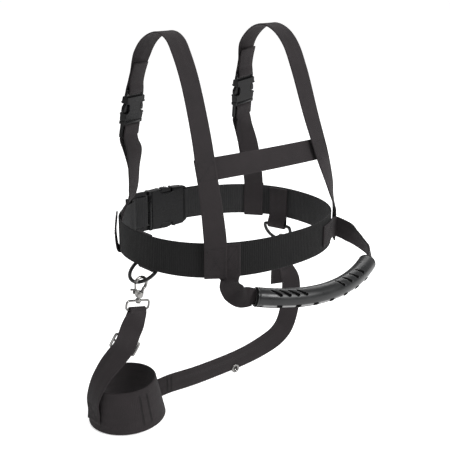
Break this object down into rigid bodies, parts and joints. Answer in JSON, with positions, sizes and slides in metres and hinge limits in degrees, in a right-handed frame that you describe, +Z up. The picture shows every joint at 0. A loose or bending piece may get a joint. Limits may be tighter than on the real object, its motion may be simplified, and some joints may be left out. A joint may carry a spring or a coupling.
{
  "type": "child ski training harness with tow leash",
  "caption": "Child's ski training harness: shoulder straps, waist belt, side release buckles, tube grab handle and a clip-on webbing leash with a wrist loop.",
  "frame": {"origin": "centre of the waist belt's ring, at the middle of the belt's width", "axes": "+Z up along the wearer's back, +Y towards the wearer's front and the waist buckle, -Y towards the grab handle, -X towards the wearer's left"},
  "size_m": [0.3452, 0.305, 0.4449],
  "materials": {
    "belt_webbing": "woven, ribbed along its width, matte",
    "webbing": "woven, matte",
    "buckle_plastic": "fine-textured black moulding",
    "grip_plastic": "satin dark grey moulding",
    "ring_steel": "black painted wire",
    "nickel": "bright nickel plate"
  },
  "bodies": {
    "harness": {"waist_belt": "belt_webbing", "waist_buckle_housing": "buckle_plastic", "waist_buckle_frame": "buckle_plastic", "left_buckle_housing": "buckle_plastic", "left_buckle_frame": "buckle_plastic", "right_buckle_housing": "buckle_plastic", "right_buckle_frame": "buckle_plastic", "left_shoulder_strap": "webbing", "right_shoulder_strap": "webbing", "left_front_strap": "webbing", "right_front_strap": "webbing", "back_cross_strap": "webbing", "left_handle_tab": "webbing", "right_handle_tab": "webbing", "left_ring_tab": "webbing", "right_ring_tab": "webbing", "left_hook_eye": "nickel", "right_hook_eye": "nickel", "left_leash_strap": "webbing", "right_leash_strap": "webbing", "wrist_loop": "webbing", "left_leash_slider": "nickel", "leash_stud_socket": "nickel", "leash_stud_cap": "nickel"},
    "handle": {"handle_strap": "webbing", "grip_upper_shell": "grip_plastic", "grip_lower_shell": "grip_plastic"},
    "waist_prong_a": {"waist_buckle_prong_a": "buckle_plastic"},
    "waist_prong_b": {"waist_buckle_prong_b": "buckle_plastic"},
    "left_prong_a": {"left_buckle_prong_a": "buckle_plastic"},
    "left_prong_b": {"left_buckle_prong_b": "buckle_plastic"},
    "right_prong_a": {"right_buckle_prong_a": "buckle_plastic"},
    "right_prong_b": {"right_buckle_prong_b": "buckle_plastic"},
    "left_d_ring": {"left_d_ring": "ring_steel"},
    "left_hook": {"left_hook_body": "nickel", "left_gate_pin": "nickel"},
    "left_gate": {"left_hook_gate": "nickel"},
    "right_d_ring": {"right_d_ring": "ring_steel"},
    "right_hook": {"right_hook_body": "nickel", "right_gate_pin": "nickel"},
    "right_gate": {"right_hook_gate": "nickel"}
  },
  "joints": [
    {"name": "handle_swing", "type": "hinge", "parent": "harness", "child": "handle", "pos_m": [-0.07435, -0.09968, -0.023], "axis": [0.9873, 0.0943, 0.1276], "range_deg": [-35, 20], "stiffness_Nm_per_rad": 0.6, "springref_deg": -5.33},
    {"name": "waist_prong_a_squeeze", "type": "hinge", "parent": "harness", "child": "waist_prong_a", "pos_m": [-0.0341, 0.114, -0.0211], "axis": [0, -1, 0], "range_deg": [0, 9], "stiffness_Nm_per_rad": 0.3},
    {"name": "waist_prong_b_squeeze", "type": "hinge", "parent": "harness", "child": "waist_prong_b", "pos_m": [-0.0341, 0.114, 0.0211], "axis": [0, 1, 0], "range_deg": [0, 9], "stiffness_Nm_per_rad": 0.3},
    {"name": "left_prong_a_squeeze", "type": "hinge", "parent": "harness", "child": "left_prong_a", "pos_m": [-0.07349, 0.07719, 0.13077], "axis": [0.3014, -0.9343, -0.1904], "range_deg": [0, 10], "stiffness_Nm_per_rad": 0.15},
    {"name": "left_prong_b_squeeze", "type": "hinge", "parent": "harness", "child": "left_prong_b", "pos_m": [-0.09612, 0.06984, 0.13103], "axis": [-0.3014, 0.9343, 0.1904], "range_deg": [0, 10], "stiffness_Nm_per_rad": 0.15},
    {"name": "right_prong_a_squeeze", "type": "hinge", "parent": "harness", "child": "right_prong_a", "pos_m": [0.09619, 0.07428, 0.13693], "axis": [0.1528, -0.9743, -0.1657], "range_deg": [0, 10], "stiffness_Nm_per_rad": 0.15},
    {"name": "right_prong_b_squeeze", "type": "hinge", "parent": "harness", "child": "right_prong_b", "pos_m": [0.07273, 0.07098, 0.13469], "axis": [-0.1528, 0.9743, 0.1657], "range_deg": [0, 10], "stiffness_Nm_per_rad": 0.15},
    {"name": "left_d_ring_swing", "type": "hinge", "parent": "harness", "child": "left_d_ring", "pos_m": [-0.12143, -0.00867, -0.021], "axis": [0.044, -0.999, 0], "range_deg": [-1, 5]},
    {"name": "left_hook_swivel", "type": "hinge", "parent": "harness", "child": "left_hook", "pos_m": [-0.14204, -0.02059, -0.05198], "axis": [0.2077, 0.0092, 0.9781], "range_deg": [0, 40]},
    {"name": "left_gate_open", "type": "hinge", "parent": "left_hook", "child": "left_gate", "pos_m": [-0.14594, -0.02076, -0.04246], "axis": [-0.044, 0.999, 0], "range_deg": [0, 25], "stiffness_Nm_per_rad": 0.01, "springref_deg": -5.73},
    {"name": "right_d_ring_swing", "type": "hinge", "parent": "harness", "child": "right_d_ring", "pos_m": [0.11645, 0.03784, -0.0305], "axis": [-0.3089, 0.9511, 0], "range_deg": [-3, 3]},
    {"name": "right_hook_swivel", "type": "hinge", "parent": "harness", "child": "right_hook", "pos_m": [0.12928, 0.04201, -0.07184], "axis": [-0.1977, -0.0642, 0.9781], "range_deg": [-25, 25]},
    {"name": "right_gate_open", "type": "hinge", "parent": "right_hook", "child": "right_gate", "pos_m": [0.133, 0.04321, -0.06232], "axis": [0.3089, -0.9511, 0], "range_deg": [0, 25], "stiffness_Nm_per_rad": 0.01, "springref_deg": -5.73}
  ],
  "couplings": [
    {"joint": "waist_prong_b_squeeze", "follows": "waist_prong_a_squeeze", "ratio": 1},
    {"joint": "left_prong_b_squeeze", "follows": "left_prong_a_squeeze", "ratio": 1},
    {"joint": "right_prong_b_squeeze", "follows": "right_prong_a_squeeze", "ratio": 1}
  ]
}
